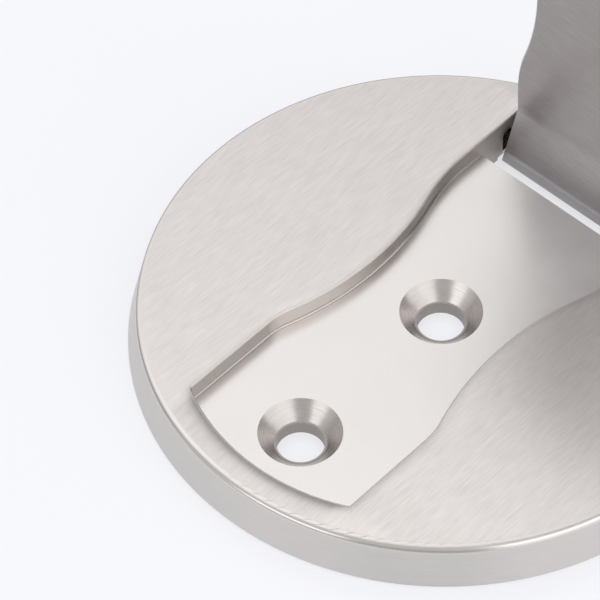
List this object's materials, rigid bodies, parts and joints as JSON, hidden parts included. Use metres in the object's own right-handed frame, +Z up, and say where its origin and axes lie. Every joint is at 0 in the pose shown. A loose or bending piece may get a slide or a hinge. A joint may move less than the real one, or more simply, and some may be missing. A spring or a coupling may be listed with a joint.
{
  "type": "magnetic door stop",
  "caption": "Low round floor door stop: a brushed metal disc with a waisted recess and a hinged steel flap that stands up for a door's magnet or folds flush.",
  "frame": {"origin": "centre of the disc's underside, on the floor", "axes": "+Z up from the floor, the recess along Y with its hinge towards +Y, the hinge pin along X"},
  "size_m": [0.0598, 0.0598, 0.0498],
  "materials": {
    "base_metal": "satin nickel, straight brushed along the recess",
    "flap_steel": "satin nickel, brushed across the flap",
    "pin_steel": "black oxide",
    "keeper_steel": "plain rolled sheet",
    "screw_steel": "zinc plated"
  },
  "bodies": {
    "base": {"base": "base_metal", "hinge_pin": "pin_steel", "keeper_plate": "keeper_steel", "keeper_screws": "screw_steel"},
    "flap": {"flap": "flap_steel"}
  },
  "joints": [
    {"name": "flap_hinge", "type": "hinge", "parent": "base", "child": "flap", "pos_m": [0, 0.02155, 0.0026], "axis": [1, 0, 0], "range_deg": [0, 87.5]}
  ]
}
